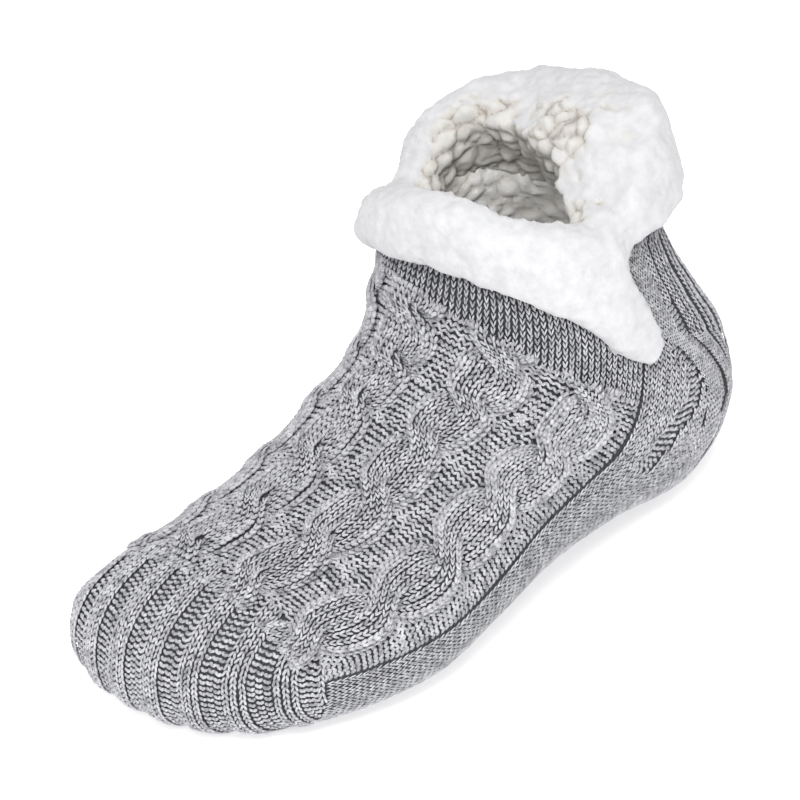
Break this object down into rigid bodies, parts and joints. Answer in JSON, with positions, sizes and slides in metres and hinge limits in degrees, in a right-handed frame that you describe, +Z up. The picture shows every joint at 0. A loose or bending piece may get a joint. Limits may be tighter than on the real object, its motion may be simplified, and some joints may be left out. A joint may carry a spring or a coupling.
{
  "type": "slipper sock",
  "caption": "Cable-knit slipper sock lined with sherpa fleece that turns out over the collar as a thick cuff with a pointed tail at each side seam.",
  "frame": {"origin": "centre of the bounding box, on the floor under the sole", "axes": "-X towards the toe, +X towards the heel, +Y towards the big toe side, +Z up"},
  "size_m": [0.2522, 0.119, 0.1605],
  "materials": {
    "grey_knit": "heather grey wool-blend yarn, cable knit, matt",
    "lining_fleece": "off-white sherpa fleece, curled pile",
    "cuff_fleece": "white plush fleece, soft pile"
  },
  "bodies": {
    "root": {"knit_shell": "grey_knit", "sherpa_lining": "lining_fleece", "sherpa_cuff": "cuff_fleece"}
  },
  "joints": []
}
